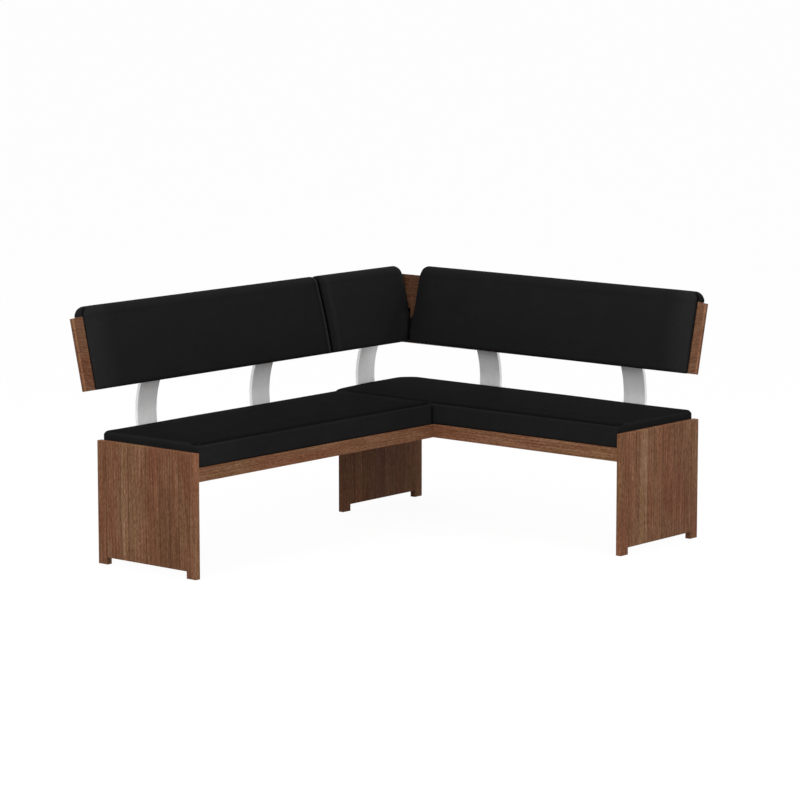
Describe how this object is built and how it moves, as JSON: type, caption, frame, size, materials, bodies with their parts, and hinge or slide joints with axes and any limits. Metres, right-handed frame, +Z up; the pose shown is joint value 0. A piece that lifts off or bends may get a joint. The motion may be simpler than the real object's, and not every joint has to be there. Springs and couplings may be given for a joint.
{
  "type": "corner bench",
  "caption": "L-shaped upholstered bench: wooden end panels and rails, black seat cushions, tilted padded backrests carried behind the seat on curved flat metal bars.",
  "frame": {"origin": "middle of the footprint on the floor, halfway along both overall widths", "axes": "+X along the long arm towards the corner, -Y the way a person on the long arm faces, +Z up; the short arm comes forward along -Y at the +X side"},
  "size_m": [1.7674, 1.4354, 0.8861],
  "materials": {
    "walnut_upright": "satin walnut, grain upright",
    "walnut_long": "satin walnut, grain along the long arm",
    "walnut_short": "satin walnut, grain along the short arm",
    "walnut_cheek": "satin walnut, grain across the backrest end",
    "beech": "planed beech",
    "plywood": "birch plywood",
    "leatherette": "matt black leatherette with a fine grain",
    "satin_steel": "satin metal bar",
    "zinc_steel": "zinc-plated steel"
  },
  "bodies": {
    "root": {"arm_bolts": "zinc_steel", "arm_nuts": "zinc_steel", "bracket_back_screws": "zinc_steel", "bracket_long_corner": "satin_steel", "bracket_long_middle": "satin_steel", "bracket_long_outer": "satin_steel", "bracket_seat_bolts": "zinc_steel", "bracket_short_corner": "satin_steel", "bracket_short_outer": "satin_steel", "cleat_screws": "zinc_steel", "corner_back_cheek_a": "walnut_cheek", "corner_back_cheek_b": "walnut_cheek", "corner_back_cushion": "leatherette", "corner_back_front_panel": "walnut_long", "corner_back_lower_rail": "walnut_long", "corner_back_rear_board": "walnut_long", "corner_back_upper_rail": "walnut_long", "corner_cleat": "beech", "corner_leg": "walnut_upright", "left_end_cleat": "beech", "left_end_panel": "walnut_upright", "long_back_cheek_a": "walnut_cheek", "long_back_cheek_b": "walnut_cheek", "long_back_cushion": "leatherette", "long_back_front_panel": "walnut_long", "long_back_lower_rail": "walnut_long", "long_back_rear_board": "walnut_long", "long_back_upper_rail": "walnut_long", "long_batten_inner": "beech", "long_batten_middle": "beech", "long_batten_outer": "beech", "long_front_ledger": "beech", "long_front_rail": "walnut_long", "long_rear_rail": "walnut_long", "long_seat_board": "plywood", "long_seat_cushion": "leatherette", "rail_dowels": "beech", "right_end_cleat": "beech", "right_end_panel": "walnut_upright", "seat_board_screws": "zinc_steel", "short_back_cheek_b": "walnut_cheek", "short_back_cushion": "leatherette", "short_back_front_panel": "walnut_short", "short_back_lower_rail": "walnut_short", "short_back_rear_board": "walnut_short", "short_back_upper_rail": "walnut_short", "short_batten_inner": "beech", "short_batten_middle": "beech", "short_batten_outer": "beech", "short_front_ledger": "beech", "short_front_rail": "walnut_short", "short_rear_rail": "walnut_short", "short_seat_board": "plywood", "short_seat_cushion": "leatherette"}
  },
  "joints": []
}
